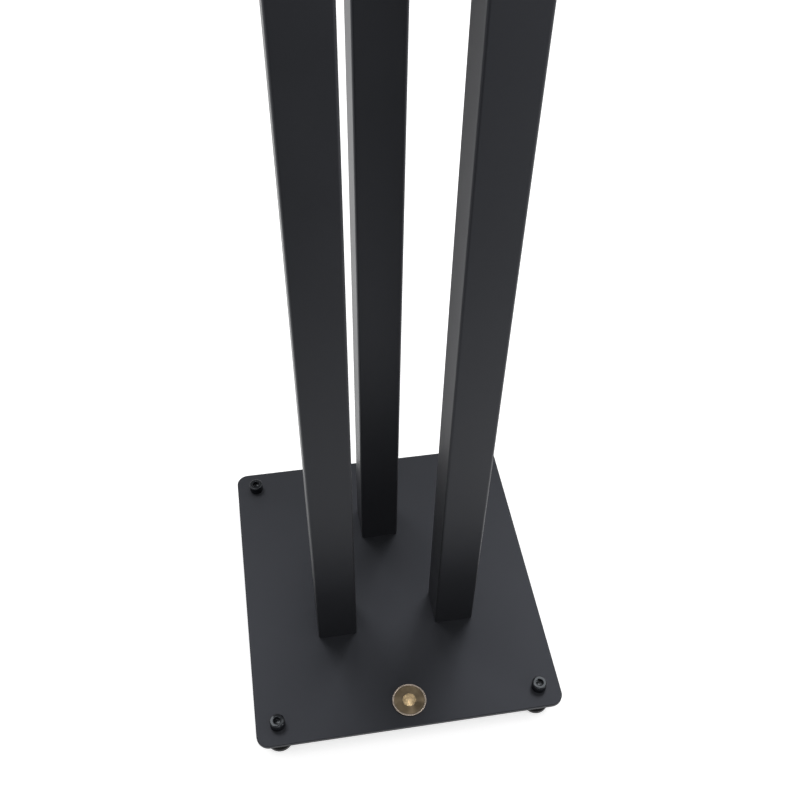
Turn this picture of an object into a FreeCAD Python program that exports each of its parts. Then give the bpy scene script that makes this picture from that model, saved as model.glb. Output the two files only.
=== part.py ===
"""A three-pillar loudspeaker stand with four screw-adjusted feet.

The stand stands on z = 0 with the centre of its base plate over the origin. X runs to the
right, Y to the back and Z up; the badge is at the front, on the -Y side. All sizes are in mm.
"""
import FreeCAD, Part
import os
import sys

import Sketcher
from FreeCAD import Placement, Rotation, Vector

# Driving dimensions: name, value and what it measures.
SIZES = [
    # Base plate and top plate, both cut from steel sheet
    ("base_width", 270.0, "base plate, left to right"),
    ("base_depth", 295.0, "base plate, front to back"),
    ("base_thickness", 4.0, "base plate"),
    ("base_corner", 11.0, "radius of the base plate's corners in plan"),
    ("top_width", 180.0, "top plate, left to right"),
    ("top_depth", 200.0, "top plate, front to back"),
    ("top_thickness", 4.0, "top plate"),
    ("top_corner", 11.0, "radius of the top plate's corners in plan"),
    ("plate_edge", 0.5, "bevel along the edges of both plates"),
    # Pillars: three square tubes
    ("pillar_side", 35.0, "outer side of the square tube"),
    ("pillar_wall", 1.5, "wall of the square tube"),
    ("pillar_corner", 2.0, "outer corner radius of the square tube"),
    ("pillar_length", 662.0, "length of each pillar"),
    ("front_pillar_spread", 108.0, "between the centres of the two front pillars"),
    ("front_pillar_set", 34.0, "front pillars' centres in front of the base plate's centre"),
    ("rear_pillar_set", 70.0, "rear pillar's centre behind the base plate's centre"),
    # End blocks welded into the pillars' ends, and the screws that hold the plates to them
    ("block_thickness", 10.0, "end block along the pillar"),
    ("block_gap", 0.2, "weld gap between an end block and the tube's inner wall"),
    ("plate_screw_thread", 6.0, "thread of a countersunk plate screw"),
    ("plate_screw_head", 12.0, "head of a countersunk plate screw, across"),
    ("plate_screw_land", 0.3, "straight rim of a countersunk head"),
    ("plate_screw_length", 12.0, "countersunk plate screw, overall"),
    ("plate_screw_flats", 4.0, "hexagon socket of a plate screw, across flats"),
    ("plate_screw_socket", 2.4, "depth of a plate screw's socket"),
    ("plate_screw_pitch", 16.0, "between the two screws of one pillar end"),
    ("plate_screw_play", 0.3, "radial play of a plate screw in its plate"),
    ("countersink_play", 0.1, "radial play of a countersunk head in its countersink"),
    ("thread_fit", 0.05, "radial clearance of an external thread in its nut or block"),
    # Levelling screws: socket-head cap screws turned from above
    ("foot_inset", 19.0, "levelling screw's axis from the two nearest plate edges"),
    ("level_thread", 8.0, "thread of a levelling screw"),
    ("level_head", 13.0, "head of a levelling screw, across"),
    ("level_head_tall", 8.0, "head of a levelling screw, height"),
    ("level_head_edge", 0.8, "bevel of the head's upper edge"),
    ("level_flats", 6.0, "hexagon socket of a levelling screw, across flats"),
    ("level_socket", 4.5, "depth of a levelling screw's socket"),
    ("level_socket_lead", 0.3, "chamfer at the mouth of the socket"),
    ("level_hole_play", 0.3, "radial play of a levelling screw in the base plate"),
    ("nut_flats", 14.0, "weld nut, across flats"),
    ("nut_tall", 6.5, "weld nut below the base plate"),
    ("nut_collar", 10.5, "locating collar of the weld nut, across"),
    ("nut_collar_tall", 1.0, "locating collar of the weld nut, height"),
    ("nut_collar_play", 0.1, "play of the collar in the base plate, each way"),
    ("nut_chamfer", 0.8, "chamfer on the corners and the bore of the weld nut"),
    # Feet: a moulded cup that swivels on the screw's end, with a rubber sole
    ("foot_travel", 7.5, "levelling travel of a foot: six turns of the screw"),
    ("foot_stop_gap", 0.5, "foot to weld nut with the foot fully up"),
    ("cup_across", 23.0, "foot cup's rim, across"),
    ("cup_tall", 12.0, "foot cup, height"),
    ("cup_rim", 4.0, "height of the foot cup's straight rim"),
    ("cup_neck", 14.0, "foot cup's neck, across"),
    ("cup_shoulder", 3.5, "drop of the foot cup's sloping shoulder"),
    ("cup_round", 1.0, "rounding of the foot cup's rim"),
    ("cup_bevel", 0.5, "bevel at the foot cup's lower edge and at the top of its neck"),
    ("cup_blend", 2.5, "blend between the foot cup's shoulder and neck"),
    ("cup_floor", 4.0, "plastic under the screw's end"),
    ("swivel_neck", 5.6, "neck turned near the end of a levelling screw"),
    ("swivel_neck_tall", 2.4, "length of that neck"),
    ("swivel_button", 7.4, "button at the end of a levelling screw, across"),
    ("swivel_button_tall", 2.5, "height of that button"),
    ("swivel_lead", 0.8, "lead-in chamfer of that button"),
    ("swivel_fit", 0.1, "clearance of the screw's end in the foot cup"),
    ("sole_across", 20.0, "rubber sole, across"),
    ("sole_tall", 3.0, "rubber sole, thickness"),
    ("sole_stand_out", 1.5, "how far the sole stands out below the cup"),
    ("sole_fit", 0.1, "radial clearance of the sole in the cup"),
    ("sole_chamfer", 0.5, "chamfer round the sole's lower edge"),
    ("sole_groove_wide", 1.2, "grip groove in the sole"),
    ("sole_groove_deep", 0.6, "grip groove in the sole"),
    ("sole_groove_across", 13.0, "middle line of the grip groove, across"),
    # Badge and its adhesive disc
    ("badge_across", 30.0, "badge"),
    ("badge_thickness", 1.5, "badge"),
    ("badge_rim", 1.3, "width of the badge's raised rim"),
    ("badge_sink", 0.35, "how far the badge's face lies below its rim"),
    ("badge_edge", 0.3, "bevel of the badge's outer edge"),
    ("badge_boss", 12.0, "plain boss in the middle of the badge, across"),
    ("badge_boss_tall", 0.25, "height of that boss over the badge's face"),
    ("badge_inset", 23.5, "badge's centre from the base plate's front edge"),
    ("adhesive_margin", 1.0, "badge beyond its adhesive disc, all round"),
    ("adhesive_thickness", 0.3, "adhesive disc"),
    # Speaker pads
    ("pad_across", 20.0, "rubber pad on the top plate"),
    ("pad_thickness", 2.0, "rubber pad"),
    ("pad_edge", 0.6, "bevel of a pad's upper edge"),
    ("pad_inset", 18.0, "pad's centre from the two nearest edges of the top plate"),
]

# Heights that follow from the sizes, as expressions
SOLE_TO_CUP = "sizes.sole_stand_out"
CUP_TOP = f"({SOLE_TO_CUP} + sizes.cup_tall)"
SCREW_END = "(sizes.sole_tall + sizes.cup_floor)"
BASE_UNDER = f"({CUP_TOP} + sizes.foot_travel + sizes.foot_stop_gap + sizes.nut_tall)"
BASE_TOP = f"({BASE_UNDER} + sizes.base_thickness)"
TOP_UNDER = f"({BASE_TOP} + sizes.pillar_length)"
TOP_TOP = f"({TOP_UNDER} + sizes.top_thickness)"

FOOT_X = "(sizes.base_width / 2 - sizes.foot_inset)"
FOOT_Y = "(sizes.base_depth / 2 - sizes.foot_inset)"
PAD_X = "(sizes.top_width / 2 - sizes.pad_inset)"
PAD_Y = "(sizes.top_depth / 2 - sizes.pad_inset)"
BADGE_Y = "-(sizes.base_depth / 2 - sizes.badge_inset)"

# The four corners and the three pillars, each with its place in plan
CORNERS = {
    "front_left": ("-1", "-1"),
    "front_right": ("1", "-1"),
    "rear_left": ("-1", "1"),
    "rear_right": ("1", "1"),
}
PILLARS = {
    "front_left": ("-sizes.front_pillar_spread / 2", "-sizes.front_pillar_set"),
    "front_right": ("sizes.front_pillar_spread / 2", "-sizes.front_pillar_set"),
    "rear": ("0", "sizes.rear_pillar_set"),
}

FLAT = 1e-6

doc = FreeCAD.newDocument("speaker_stand")


def make_sheet():
    """The spreadsheet of driving dimensions."""
    sheet = doc.addObject("Spreadsheet::Sheet", "sizes")
    for row, (alias, value, note) in enumerate(SIZES, start=1):
        sheet.set(f"A{row}", alias)
        sheet.set(f"B{row}", str(value))
        sheet.set(f"C{row}", note)
        sheet.setAlias(f"B{row}", alias)
    doc.recompute()
    return sheet


# Sketch helpers: every length is an expression on the spreadsheet


def new_body(label, x="0", y="0", z="0", upside_down=False):
    """A named body whose own origin stands at x, y, z of the stand."""
    body = doc.addObject("PartDesign::Body", label)
    body.Label = label
    turn = Rotation(Vector(1, 0, 0), 180) if upside_down else Rotation()
    body.Placement = Placement(Vector(), turn)
    for axis, value in (("x", x), ("y", y), ("z", z)):
        body.setExpression(f"Placement.Base.{axis}", value)
    return body


def new_sketch(body, name, role="XY_Plane", lift=None):
    """A sketch on one of the body's own origin planes, lifted off it where asked."""
    sketch = body.newObject("Sketcher::SketchObject", name)
    plane = next(item for item in body.Origin.OriginFeatures if item.Role == role)
    sketch.AttachmentSupport = (plane, [""])
    sketch.MapMode = "FlatFace"
    if lift:
        sketch.setExpression("AttachmentOffset.Base.z", lift)
    return sketch


def constrain(sketch, name, kind, *parts, size):
    """A named dimension bound to an expression."""
    index = sketch.addConstraint(Sketcher.Constraint(kind, *parts, sketch.evalExpression(size)))
    sketch.renameConstraint(index, name)
    sketch.setExpression(f"Constraints.{name}", size)


def origin():
    """The reference to a sketch's own origin point."""
    return -1, 1


def place_point(sketch, name, geometry, point, x, y):
    """Ties a point to x, y measured from the sketch's origin, or to an axis where one of them is 0."""
    for axis, kind, axis_line, value in (("x", "DistanceX", -2, x), ("y", "DistanceY", -1, y)):
        if value == "0":
            sketch.addConstraint(Sketcher.Constraint("PointOnObject", geometry, point, axis_line))
        else:
            constrain(sketch, f"{name}_{axis}", kind, *origin(), geometry, point, size=value)


def rectangle(sketch, width, depth):
    """A rectangle centred on the sketch's origin."""
    right = sketch.evalExpression(width) / 2
    back = sketch.evalExpression(depth) / 2
    corners = [Vector(-right, -back), Vector(right, -back), Vector(right, back), Vector(-right, back)]
    sides = [
        sketch.addGeometry(Part.LineSegment(corners[i], corners[(i + 1) % 4])) for i in range(4)
    ]
    for i in range(4):
        sketch.addConstraint(Sketcher.Constraint("Coincident", sides[i], 2, sides[(i + 1) % 4], 1))
        kind = "Vertical" if i % 2 else "Horizontal"
        sketch.addConstraint(Sketcher.Constraint(kind, sides[i]))
    sketch.addConstraint(Sketcher.Constraint("Symmetric", sides[0], 1, sides[1], 2, *origin()))
    constrain(sketch, "width", "DistanceX", sides[0], 1, sides[0], 2, size=width)
    constrain(sketch, "depth", "DistanceY", sides[1], 1, sides[1], 2, size=depth)


def circle(sketch, name, across, x="0", y="0"):
    """A circle of a given diameter at x, y."""
    centre = Vector(sketch.evalExpression(x), sketch.evalExpression(y))
    ring = Part.Circle(centre, Vector(0, 0, 1), sketch.evalExpression(across) / 2)
    index = sketch.addGeometry(ring)
    place_point(sketch, name, index, 3, x, y)
    constrain(sketch, f"{name}_across", "Diameter", index, size=across)


def hexagon(sketch, flats):
    """A regular hexagon round the sketch's origin, with two of its flats square to X."""
    corner = f"({flats}) / cos(30)"
    radius = sketch.evalExpression(corner) / 2
    points = [Rotation(Vector(0, 0, 1), 30 + 60 * i).multVec(Vector(radius, 0)) for i in range(6)]
    sides = [
        sketch.addGeometry(Part.LineSegment(points[i - 1], points[i])) for i in range(6)
    ]
    guide = sketch.addGeometry(Part.Circle(Vector(), Vector(0, 0, 1), radius), True)
    sketch.addConstraint(Sketcher.Constraint("Coincident", guide, 3, *origin()))
    constrain(sketch, "corners_across", "Diameter", guide, size=corner)
    for i in range(6):
        sketch.addConstraint(Sketcher.Constraint("Coincident", sides[i - 1], 2, sides[i], 1))
        sketch.addConstraint(Sketcher.Constraint("PointOnObject", sides[i], 1, guide))
        if i:
            sketch.addConstraint(Sketcher.Constraint("Equal", sides[0], sides[i]))
    sketch.addConstraint(Sketcher.Constraint("Vertical", sides[0]))


def outline(sketch, points):
    """A closed outline of straight lines through points given as pairs of expressions."""
    places = [Vector(sketch.evalExpression(x), sketch.evalExpression(y)) for x, y in points]
    count = len(points)
    sides = [
        sketch.addGeometry(Part.LineSegment(places[i], places[(i + 1) % count])) for i in range(count)
    ]
    for i in range(count):
        sketch.addConstraint(Sketcher.Constraint("Coincident", sides[i - 1], 2, sides[i], 1))
        place_point(sketch, f"p{i}", sides[i], 1, *points[i])


# Feature helpers


def pad(body, name, sketch, length, downwards=False):
    """A solid raised from the sketch, or hung below it."""
    feature = body.newObject("PartDesign::Pad", name)
    feature.Profile = sketch
    feature.Reversed = downwards
    feature.setExpression("Length", length)
    doc.recompute()
    return feature


def cut(body, name, sketch, depth=None, upwards=False):
    """A pocket below the sketch, or above it, through all where no depth is given."""
    before = body.Tip.Shape.Volume
    feature = body.newObject("PartDesign::Pocket", name)
    feature.Profile = sketch
    feature.Reversed = upwards
    if depth:
        feature.setExpression("Length", depth)
    else:
        feature.Type = "ThroughAll"
    doc.recompute()
    check_cut(feature, before)
    return feature


def turned(body, name, points):
    """A solid turned about the body's Z axis from an outline of radius and height."""
    sketch = new_sketch(body, f"{name}_profile", "XZ_Plane")
    outline(sketch, points)
    feature = body.newObject("PartDesign::Revolution", name)
    feature.Profile = sketch
    feature.ReferenceAxis = (sketch, ["V_Axis"])
    feature.Angle = 360
    doc.recompute()
    return feature


def turned_cut(body, name, points):
    """A ring cut about the body's Z axis from an outline of radius and height."""
    before = body.Tip.Shape.Volume
    sketch = new_sketch(body, f"{name}_profile", "XZ_Plane")
    outline(sketch, points)
    feature = body.newObject("PartDesign::Groove", name)
    feature.Profile = sketch
    feature.ReferenceAxis = (sketch, ["V_Axis"])
    feature.Angle = 360
    doc.recompute()
    check_cut(feature, before)
    return feature


def check_cut(feature, before):
    """Stops the build where a cut has taken nothing away."""
    if before - feature.Shape.Volume < FLAT:
        sys.exit(f"{feature.Label} cuts nothing")


def edges(feature, wanted):
    """Names of the edges of a feature for which the test wanted holds."""
    return [f"Edge{i}" for i, edge in enumerate(feature.Shape.Edges, start=1) if wanted(edge)]


def upright(edge):
    """True for a straight edge along Z."""
    box = edge.BoundBox
    return box.ZLength > FLAT and box.XLength < FLAT and box.YLength < FLAT


def upright_at(x, y):
    """A test for straight edges along Z that stand x and y away from the axis, on either side."""
    def wanted(edge):
        place = edge.CenterOfMass
        return upright(edge) and abs(abs(place.x) - x) < FLAT and abs(abs(place.y) - y) < FLAT
    return wanted


def level_at(height):
    """A test for edges that lie flat at a height."""
    return lambda edge: edge.BoundBox.ZLength < FLAT and abs(edge.BoundBox.ZMin - height) < FLAT


def ring_at(height, across):
    """A test for a full circle of a given diameter that lies flat at a height."""
    flat = level_at(height)
    return lambda edge: flat(edge) and abs(edge.BoundBox.XLength - across) < FLAT


def dress(body, kind, name, base, names, property_name, size):
    """A fillet or chamfer on named edges of the feature base."""
    if not names:
        sys.exit(f"{name} finds no edges")
    feature = body.newObject(f"PartDesign::{kind}", name)
    feature.Base = (base, names)
    feature.setExpression(property_name, size)
    doc.recompute()
    return feature


def fillet(body, name, base, names, radius):
    """Rounds named edges of the feature base."""
    return dress(body, "Fillet", name, base, names, "Radius", radius)


def chamfer(body, name, base, names, size):
    """Bevels named edges of the feature base at 45 degrees."""
    return dress(body, "Chamfer", name, base, names, "Size", size)


def size_of(expression):
    """What an expression on the spreadsheet comes to."""
    return doc.sizes.evalExpression(expression)


# Plates


def rounded_plate(body, width, depth, thickness, corner):
    """A flat plate on z = 0 with rounded corners and bevelled edges."""
    sketch = new_sketch(body, "plate_outline")
    rectangle(sketch, width, depth)
    sheet = pad(body, "plate", sketch, thickness)
    corners = fillet(body, "plate_corners", sheet, edges(sheet, upright), corner)
    rims = edges(corners, level_at(0)) + edges(corners, level_at(size_of(thickness)))
    return chamfer(body, "plate_edges", corners, rims, "sizes.plate_edge")


def plate_screw_places():
    """Plan positions of the twelve plate screws, two for each end of each pillar."""
    places = {}
    for pillar, (x, y) in PILLARS.items():
        for number, side in ((1, "-"), (2, "+")):
            places[f"{pillar}_{number}"] = (f"({x} {side} sizes.plate_screw_pitch / 2)", f"({y})")
    return places


def countersunk_holes(body, face_height):
    """Holes for the plate screws, countersunk at the given face of the plate."""
    sketch = new_sketch(body, "screw_places")
    hole = "(sizes.plate_screw_thread + 2 * sizes.plate_screw_play)"
    for name, (x, y) in plate_screw_places().items():
        circle(sketch, name, hole, x, y)
    drilled = cut(body, "screw_holes", sketch, upwards=True)
    rings = edges(drilled, ring_at(size_of(face_height), size_of(hole)))
    flare = f"(sizes.plate_screw_head - {hole}) / 2 + sizes.plate_screw_land + sizes.countersink_play"
    return chamfer(body, "countersinks", drilled, rings, flare)


def make_base_plate():
    """The plate that the pillars, the nuts of the feet and the badge sit on."""
    body = new_body("base_plate", z=BASE_UNDER)
    rounded_plate(body, "sizes.base_width", "sizes.base_depth", "sizes.base_thickness", "sizes.base_corner")
    countersunk_holes(body, "0")
    sketch = new_sketch(body, "foot_places")
    seats = new_sketch(body, "nut_seats")
    for name, (x_side, y_side) in CORNERS.items():
        x = f"{x_side} * {FOOT_X}"
        y = f"{y_side} * {FOOT_Y}"
        circle(sketch, name, "sizes.level_thread + 2 * sizes.level_hole_play", x, y)
        circle(seats, name, "sizes.nut_collar + 2 * sizes.nut_collar_play", x, y)
    cut(body, "foot_holes", sketch, upwards=True)
    cut(body, "nut_recesses", seats, "sizes.nut_collar_tall + sizes.nut_collar_play", upwards=True)
    return body


def make_top_plate():
    """The plate that carries the speaker."""
    body = new_body("top_plate", z=TOP_UNDER)
    rounded_plate(body, "sizes.top_width", "sizes.top_depth", "sizes.top_thickness", "sizes.top_corner")
    countersunk_holes(body, "sizes.top_thickness")
    return body


# Pillars, their end blocks and the screws that hold them


def make_pillar(name):
    """A square tube that stands on the base plate."""
    x, y = PILLARS[name]
    body = new_body(f"{name}_pillar", x, y, BASE_TOP)
    outside = new_sketch(body, "tube_outside")
    rectangle(outside, "sizes.pillar_side", "sizes.pillar_side")
    bar = pad(body, "bar", outside, "sizes.pillar_length")
    fillet(body, "outer_corners", bar, edges(bar, upright), "sizes.pillar_corner")
    bore = "sizes.pillar_side - 2 * sizes.pillar_wall"
    inside = new_sketch(body, "tube_inside")
    rectangle(inside, bore, bore)
    hollow = cut(body, "hollow", inside, upwards=True)
    corner = size_of(bore) / 2
    inner = edges(hollow, upright_at(corner, corner))
    if len(inner) != 4:
        sys.exit(f"{body.Label} has {len(inner)} inner corners")
    fillet(body, "inner_corners", hollow, inner, "sizes.pillar_corner - sizes.pillar_wall")
    return body


def make_end_block(pillar, end):
    """A tapped steel block that closes one end of a pillar, its outer face flush with the tube."""
    x, y = PILLARS[pillar]
    height = BASE_TOP if end == "lower" else TOP_UNDER
    body = new_body(f"{pillar}_{end}_block", x, y, height, upside_down=end == "upper")
    side = "(sizes.pillar_side - 2 * sizes.pillar_wall - 2 * sizes.block_gap)"
    sketch = new_sketch(body, "block_outline")
    rectangle(sketch, side, side)
    block = pad(body, "block", sketch, "sizes.block_thickness")
    bevel = "sizes.pillar_corner - sizes.pillar_wall - sizes.block_gap"
    chamfer(body, "block_corners", block, edges(block, upright), bevel)
    places = new_sketch(body, "tapped_places")
    thread = "sizes.plate_screw_thread + 2 * sizes.thread_fit"
    circle(places, "left", thread, "-sizes.plate_screw_pitch / 2")
    circle(places, "right", thread, "sizes.plate_screw_pitch / 2")
    cut(body, "tapped_holes", places, upwards=True)
    return body


def make_plate_screw(place, end):
    """A countersunk socket screw. Its own z = 0 is the top of its head, and it points up."""
    x, y = plate_screw_places()[place]
    pillar, number = place.rsplit("_", 1)
    height = BASE_UNDER if end == "lower" else TOP_TOP
    body = new_body(f"{pillar}_{end}_screw_{number}", x, y, height, upside_down=end == "upper")
    head = "sizes.plate_screw_head / 2"
    shank = "sizes.plate_screw_thread / 2"
    cone = f"(sizes.plate_screw_land + {head} - {shank})"
    points = [
        ("0", "0"),
        (head, "0"),
        (head, "sizes.plate_screw_land"),
        (shank, cone),
        (shank, "sizes.plate_screw_length"),
        ("0", "sizes.plate_screw_length"),
    ]
    turned(body, "screw", points)
    socket = new_sketch(body, "socket_outline")
    hexagon(socket, "sizes.plate_screw_flats")
    cut(body, "socket", socket, "sizes.plate_screw_socket", upwards=True)
    return body


# Levelling feet


def make_weld_nut(corner):
    """A hexagon weld nut. Its own z = 0 is the face on the base plate's underside."""
    x_side, y_side = CORNERS[corner]
    body = new_body(
        f"{corner}_weld_nut", f"{x_side} * {FOOT_X}", f"{y_side} * {FOOT_Y}", BASE_UNDER, upside_down=True
    )
    sketch = new_sketch(body, "nut_outline")
    hexagon(sketch, "sizes.nut_flats")
    pad(body, "nut", sketch, "sizes.nut_tall")
    corner_radius = "sizes.nut_flats / 2 / cos(30)"
    flat_radius = "sizes.nut_flats / 2"
    slope = f"({corner_radius} - {flat_radius}) * tan(30)"
    points = [
        (flat_radius, "sizes.nut_tall"),
        (f"{corner_radius} + sizes.nut_chamfer", "sizes.nut_tall"),
        (f"{corner_radius} + sizes.nut_chamfer", f"sizes.nut_tall - {slope} - sizes.nut_chamfer * tan(30)"),
    ]
    turned_cut(body, "nut_corners", points)
    collar = new_sketch(body, "collar_outline")
    circle(collar, "collar", "sizes.nut_collar")
    pad(body, "collar", collar, "sizes.nut_collar_tall", downwards=True)
    bore = new_sketch(body, "bore_outline", lift="sizes.nut_tall")
    thread = "(sizes.level_thread + 2 * sizes.thread_fit)"
    circle(bore, "bore", thread)
    drilled = cut(body, "bore", bore)
    mouth = edges(drilled, ring_at(size_of("sizes.nut_tall"), size_of(thread)))
    chamfer(body, "bore_mouth", drilled, mouth, "sizes.nut_chamfer")
    return body


def make_levelling_screw(corner):
    """A cap screw with a button turned on its end. Its own z = 0 is under the head."""
    x_side, y_side = CORNERS[corner]
    body = new_body(
        f"{corner}_levelling_screw", f"{x_side} * {FOOT_X}", f"{y_side} * {FOOT_Y}", BASE_TOP
    )
    end = f"-({BASE_TOP} - {SCREW_END})"
    shank = "sizes.level_thread / 2"
    button = "sizes.swivel_button / 2"
    neck = "sizes.swivel_neck / 2"
    button_top = f"({end} + sizes.swivel_button_tall)"
    neck_top = f"({button_top} + sizes.swivel_neck_tall)"
    points = [
        ("0", "sizes.level_head_tall"),
        ("0", end),
        (f"{button} - sizes.swivel_lead", end),
        (button, f"{end} + sizes.swivel_lead"),
        (button, button_top),
        (neck, button_top),
        (neck, neck_top),
        (shank, neck_top),
        (shank, "0"),
        ("sizes.level_head / 2", "0"),
        ("sizes.level_head / 2", "sizes.level_head_tall"),
    ]
    screw = turned(body, "screw", points)
    head_top = size_of("sizes.level_head_tall")
    crown = edges(screw, ring_at(head_top, size_of("sizes.level_head")))
    chamfer(body, "head_edge", screw, crown, "sizes.level_head_edge")
    socket = new_sketch(body, "socket_outline", lift="sizes.level_head_tall")
    hexagon(socket, "sizes.level_flats")
    cut(body, "socket", socket, "sizes.level_socket")
    corner_radius = "sizes.level_flats / 2 / cos(30)"
    lead = [
        ("0", "sizes.level_head_tall"),
        ("0", "sizes.level_head_tall - sizes.level_socket_lead"),
        (corner_radius, "sizes.level_head_tall - sizes.level_socket_lead"),
        (f"{corner_radius} + sizes.level_socket_lead", "sizes.level_head_tall"),
    ]
    turned_cut(body, "socket_lead", lead)
    return body


def make_foot_cup(corner):
    """The moulded cup of a foot, open below for its sole and above for the screw's end."""
    x_side, y_side = CORNERS[corner]
    body = new_body(f"{corner}_foot_cup", f"{x_side} * {FOOT_X}", f"{y_side} * {FOOT_Y}", SOLE_TO_CUP)
    rim = "sizes.cup_across / 2"
    neck = "sizes.cup_neck / 2"
    recess = "(sizes.sole_across / 2 + sizes.sole_fit)"
    recess_top = "(sizes.sole_tall - sizes.sole_stand_out)"
    floor = f"({recess_top} + sizes.cup_floor)"
    button = "(sizes.swivel_button / 2 + sizes.swivel_fit)"
    button_top = f"({floor} + sizes.swivel_button_tall + sizes.swivel_fit)"
    throat = "(sizes.swivel_neck / 2 + sizes.swivel_fit)"
    throat_top = f"({floor} + sizes.swivel_button_tall + sizes.swivel_neck_tall - sizes.swivel_fit)"
    mouth = "(sizes.level_thread / 2 + sizes.swivel_fit)"
    points = [
        ("0", recess_top),
        (recess, recess_top),
        (recess, "0"),
        (f"{rim} - sizes.cup_bevel", "0"),
        (rim, "sizes.cup_bevel"),
        (rim, "sizes.cup_rim"),
        (neck, "sizes.cup_rim + sizes.cup_shoulder"),
        (neck, "sizes.cup_tall - sizes.cup_bevel"),
        (f"{neck} - sizes.cup_bevel", "sizes.cup_tall"),
        (mouth, "sizes.cup_tall"),
        (mouth, throat_top),
        (throat, throat_top),
        (throat, button_top),
        (button, button_top),
        (button, floor),
        ("0", floor),
    ]
    cup = turned(body, "cup", points)
    top_of_rim = ring_at(size_of("sizes.cup_rim"), size_of("sizes.cup_across"))
    rounded = fillet(body, "rim_edge", cup, edges(cup, top_of_rim), "sizes.cup_round")
    foot_of_neck = ring_at(size_of("sizes.cup_rim + sizes.cup_shoulder"), size_of("sizes.cup_neck"))
    fillet(body, "neck_blend", rounded, edges(rounded, foot_of_neck), "sizes.cup_blend")
    return body


def make_foot_sole(corner):
    """The rubber sole of a foot, which stands on the floor."""
    x_side, y_side = CORNERS[corner]
    body = new_body(f"{corner}_foot_sole", f"{x_side} * {FOOT_X}", f"{y_side} * {FOOT_Y}")
    radius = "sizes.sole_across / 2"
    points = [
        ("0", "0"),
        (f"{radius} - sizes.sole_chamfer", "0"),
        (radius, "sizes.sole_chamfer"),
        (radius, "sizes.sole_tall"),
        ("0", "sizes.sole_tall"),
    ]
    turned(body, "sole", points)
    inner = "(sizes.sole_groove_across - sizes.sole_groove_wide) / 2"
    outer = "(sizes.sole_groove_across + sizes.sole_groove_wide) / 2"
    turned_cut(
        body, "grip_groove",
        [
            (inner, "0"),
            (outer, "0"),
            (outer, "sizes.sole_groove_deep"),
            (inner, "sizes.sole_groove_deep"),
        ],
    )
    return body


# Badge and speaker pads


def make_badge_adhesive():
    """The thin disc of foam tape under the badge."""
    body = new_body("badge_adhesive", y=BADGE_Y, z=BASE_TOP)
    sketch = new_sketch(body, "adhesive_outline")
    circle(sketch, "adhesive", "sizes.badge_across - 2 * sizes.adhesive_margin")
    pad(body, "adhesive", sketch, "sizes.adhesive_thickness")
    return body


def make_badge():
    """A turned metal disc with a raised rim and a plain boss in its middle."""
    body = new_body("badge_disc", y=BADGE_Y, z=f"{BASE_TOP} + sizes.adhesive_thickness")
    radius = "sizes.badge_across / 2"
    face = "sizes.badge_thickness - sizes.badge_sink"
    boss = "sizes.badge_boss / 2"
    points = [
        ("0", "0"),
        (radius, "0"),
        (radius, "sizes.badge_thickness"),
        (f"{radius} - sizes.badge_rim", "sizes.badge_thickness"),
        (f"{radius} - sizes.badge_rim - sizes.badge_sink", face),
        (boss, face),
        (f"{boss} - sizes.badge_boss_tall", f"{face} + sizes.badge_boss_tall"),
        ("0", f"{face} + sizes.badge_boss_tall"),
    ]
    disc = turned(body, "disc", points)
    top_ring = ring_at(size_of("sizes.badge_thickness"), size_of("sizes.badge_across"))
    chamfer(body, "disc_edge", disc, edges(disc, top_ring), "sizes.badge_edge")
    return body


def make_speaker_pad(corner):
    """A round rubber pad on the top plate."""
    x_side, y_side = CORNERS[corner]
    body = new_body(f"{corner}_speaker_pad", f"{x_side} * {PAD_X}", f"{y_side} * {PAD_Y}", TOP_TOP)
    sketch = new_sketch(body, "pad_outline")
    circle(sketch, "pad", "sizes.pad_across")
    disc = pad(body, "disc", sketch, "sizes.pad_thickness")
    top_ring = ring_at(size_of("sizes.pad_thickness"), size_of("sizes.pad_across"))
    chamfer(body, "pad_edge", disc, edges(disc, top_ring), "sizes.pad_edge")
    return body


def make_stand():
    """Every sub-part of the stand, in the order in which it is put together."""
    parts = [make_base_plate(), make_top_plate()]
    for pillar in PILLARS:
        parts.append(make_pillar(pillar))
        parts.append(make_end_block(pillar, "lower"))
        parts.append(make_end_block(pillar, "upper"))
    for place in plate_screw_places():
        parts.append(make_plate_screw(place, "lower"))
        parts.append(make_plate_screw(place, "upper"))
    for corner in CORNERS:
        parts.append(make_weld_nut(corner))
        parts.append(make_levelling_screw(corner))
        parts.append(make_foot_cup(corner))
        parts.append(make_foot_sole(corner))
        parts.append(make_speaker_pad(corner))
    parts.append(make_badge_adhesive())
    parts.append(make_badge())
    return parts


def check(parts):
    """Stops the build where an object has failed or a sub-part isn't one sound solid."""
    for item in doc.Objects:
        if "Invalid" in item.State or "Error" in item.State:
            sys.exit(f"{item.Label} failed: {item.State}")
    for part in parts:
        shape = part.Shape
        if shape.isNull() or not shape.isValid() or len(shape.Solids) != 1:
            sys.exit(f"{part.Label} isn't one valid solid")


def main():
    make_sheet()
    parts = make_stand()
    doc.recompute()
    check(parts)
    os.makedirs("parts", exist_ok=True)
    for part in parts:
        part.Shape.exportStep(f"parts/{part.Label}.step")
    print(f"{len(parts)} sub-parts, {size_of(TOP_TOP) + size_of('sizes.pad_thickness'):.1f} mm tall")


main()
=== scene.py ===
"""Looks of a three-pillar loudspeaker stand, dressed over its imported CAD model.

All lengths are in metres. X runs to the right, Y to the back and Z up from the floor; the
stand's front, with its badge, is on the -Y side.
"""
import logging
import math
from abc import ABC, abstractmethod
from dataclasses import dataclass, field
from enum import Enum
from typing import Any, Mapping, Sequence, Union

import bmesh
import bpy
from mathutils import Matrix, Vector


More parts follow.
